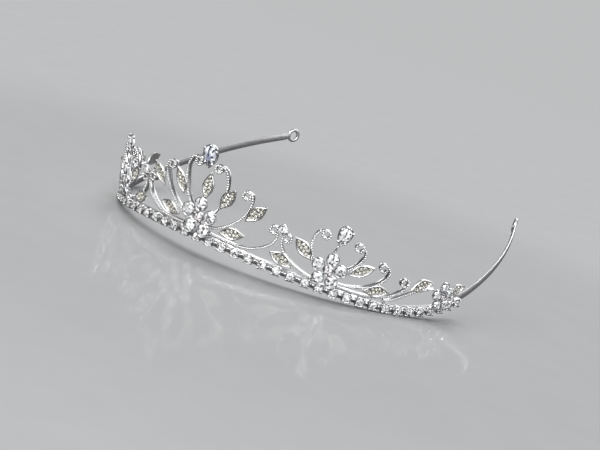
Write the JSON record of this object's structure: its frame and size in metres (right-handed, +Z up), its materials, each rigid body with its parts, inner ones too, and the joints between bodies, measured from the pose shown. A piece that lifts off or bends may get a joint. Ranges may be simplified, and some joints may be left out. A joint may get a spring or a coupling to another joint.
{
  "type": "bridal tiara",
  "caption": "Crystal bridal tiara: an open bent metal headband with a rhinestone cup chain and a crest of scrolls, leaves, flowers and pear stones.",
  "frame": {"origin": "the table under the middle of the tiara's footprint, as it stands on the bottoms of its lowest cups", "axes": "+X to the wearer's left as the tiara is seen from the front, -Y to the front where the crest is tallest, +Z up"},
  "size_m": [0.14, 0.1443, 0.0375],
  "materials": {
    "rhodium_metal": "bright rhodium-plated alloy, lightly brushed on the strip",
    "crystal": "clear faceted glass stone with a foiled back",
    "set_crystal": "round clear stones in bright rhodium-plated bezels",
    "pave_crystal": "small clear stones set close together in a plated leaf"
  },
  "bodies": {
    "root": {"ball_scroll_left": "rhodium_metal", "ball_scroll_right": "rhodium_metal", "centre_flower": "set_crystal", "centre_leaf": "pave_crystal", "centre_pear_setting": "rhodium_metal", "centre_pear_stone": "crystal", "centre_scroll_left": "rhodium_metal", "centre_scroll_right": "rhodium_metal", "cup_chain": "rhodium_metal", "end_flower_left": "set_crystal", "end_flower_right": "set_crystal", "end_inner_leaf_left": "pave_crystal", "end_inner_leaf_right": "pave_crystal", "end_outer_leaf_left": "pave_crystal", "end_outer_leaf_right": "pave_crystal", "end_wire_left": "rhodium_metal", "end_wire_right": "rhodium_metal", "eyelet_left": "rhodium_metal", "eyelet_right": "rhodium_metal", "headband": "rhodium_metal", "inner_span_wire_left": "rhodium_metal", "inner_span_wire_right": "rhodium_metal", "lower_leaf_left": "pave_crystal", "lower_leaf_right": "pave_crystal", "lyre_leaf_left": "pave_crystal", "lyre_leaf_right": "pave_crystal", "lyre_left": "rhodium_metal", "lyre_right": "rhodium_metal", "outer_span_wire_left": "rhodium_metal", "outer_span_wire_right": "rhodium_metal", "scroll_leaf_left": "pave_crystal", "scroll_leaf_right": "pave_crystal", "side_flower_left": "set_crystal", "side_flower_right": "set_crystal", "side_inner_leaf_left": "pave_crystal", "side_inner_leaf_right": "pave_crystal", "side_inner_scroll_left": "rhodium_metal", "side_inner_scroll_right": "rhodium_metal", "side_lower_leaf_left": "pave_crystal", "side_lower_leaf_right": "pave_crystal", "side_lower_scroll_left": "rhodium_metal", "side_lower_scroll_right": "rhodium_metal", "side_outer_leaf_left": "pave_crystal", "side_outer_leaf_right": "pave_crystal", "side_pear_setting_left": "rhodium_metal", "side_pear_setting_right": "rhodium_metal", "side_pear_stem_left": "rhodium_metal", "side_pear_stem_right": "rhodium_metal", "side_pear_stone_left": "crystal", "side_pear_stone_right": "crystal", "side_upper_scroll_left": "rhodium_metal", "side_upper_scroll_right": "rhodium_metal", "span_leaf_left": "pave_crystal", "span_leaf_right": "pave_crystal", "square_setting_left": "rhodium_metal", "square_setting_right": "rhodium_metal", "square_stone_left": "crystal", "square_stone_right": "crystal"}
  },
  "joints": []
}
